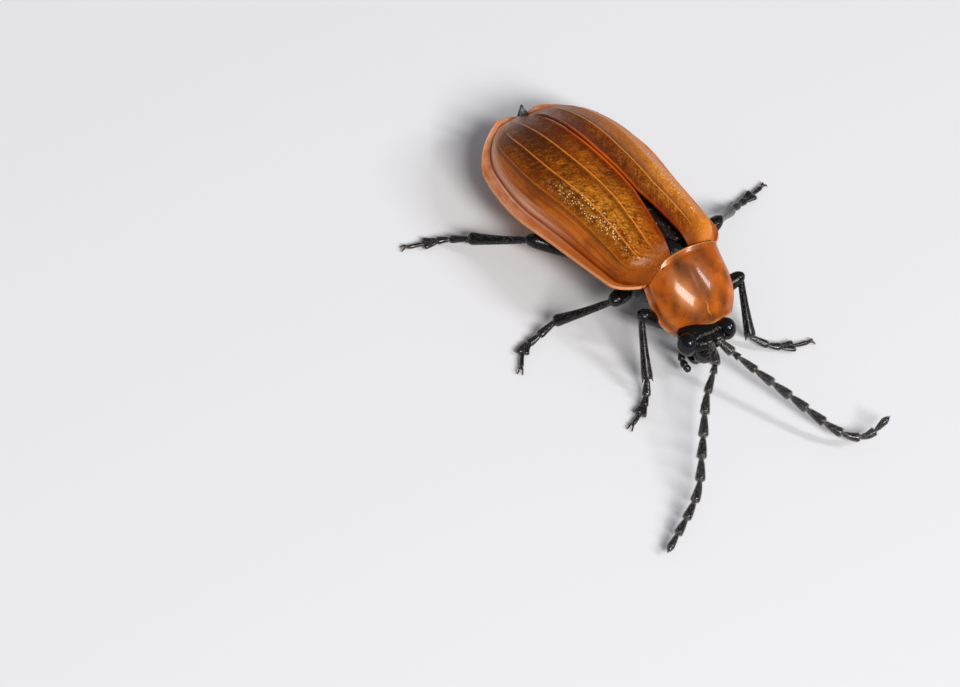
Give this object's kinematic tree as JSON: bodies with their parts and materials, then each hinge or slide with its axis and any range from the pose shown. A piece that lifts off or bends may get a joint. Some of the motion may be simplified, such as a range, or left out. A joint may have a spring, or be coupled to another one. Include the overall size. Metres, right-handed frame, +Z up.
{
  "type": "daffodil leaf beetle model",
  "caption": "Life-size still model of a daffodil leaf beetle, standing with amber wing cases, an orange neck shield and black head, legs and feelers.",
  "frame": {"origin": "on the floor, under the middle of the whole beetle's box, feelers and feet included", "axes": "+Y ahead of the beetle, along its body; +X to its right; +Z up from the floor it stands on"},
  "size_m": [0.0102, 0.0132, 0.0035],
  "materials": {
    "wing_case": "glossy translucent amber cuticle with fine punctures",
    "shield": "glossy orange-brown cuticle",
    "black_cuticle": "black cuticle with fine silvery hairs",
    "eye": "glossy black compound eye with fine facets",
    "belly": "satin orange cuticle",
    "folded_wing": "dark smoky membrane"
  },
  "bodies": {
    "root": {"abdomen": "belly", "coxa_fore_left": "black_cuticle", "coxa_fore_right": "black_cuticle", "coxa_hind_left": "black_cuticle", "coxa_hind_right": "black_cuticle", "coxa_mid_left": "black_cuticle", "coxa_mid_right": "black_cuticle", "eye_left": "eye", "eye_right": "eye", "feeler_left_1": "black_cuticle", "feeler_left_2": "black_cuticle", "feeler_left_3": "black_cuticle", "feeler_right_1": "black_cuticle", "feeler_right_2": "black_cuticle", "feeler_right_3": "black_cuticle", "femur_fore_left": "black_cuticle", "femur_fore_right": "black_cuticle", "femur_hind_left": "black_cuticle", "femur_hind_right": "black_cuticle", "femur_mid_left": "black_cuticle", "femur_mid_right": "black_cuticle", "folded_wings": "folded_wing", "head_capsule": "black_cuticle", "labrum": "black_cuticle", "mandibles": "black_cuticle", "palp_left": "black_cuticle", "palp_right": "black_cuticle", "pronotum": "shield", "prosternum": "black_cuticle", "pterothorax": "black_cuticle", "scutellum": "black_cuticle", "tarsus_fore_left": "black_cuticle", "tarsus_fore_right": "black_cuticle", "tarsus_hind_left": "black_cuticle", "tarsus_hind_right": "black_cuticle", "tarsus_mid_left": "black_cuticle", "tarsus_mid_right": "black_cuticle", "tibia_fore_left": "black_cuticle", "tibia_fore_right": "black_cuticle", "tibia_hind_left": "black_cuticle", "tibia_hind_right": "black_cuticle", "tibia_mid_left": "black_cuticle", "tibia_mid_right": "black_cuticle", "wing_case_left": "wing_case", "wing_case_right": "wing_case"}
  },
  "joints": []
}
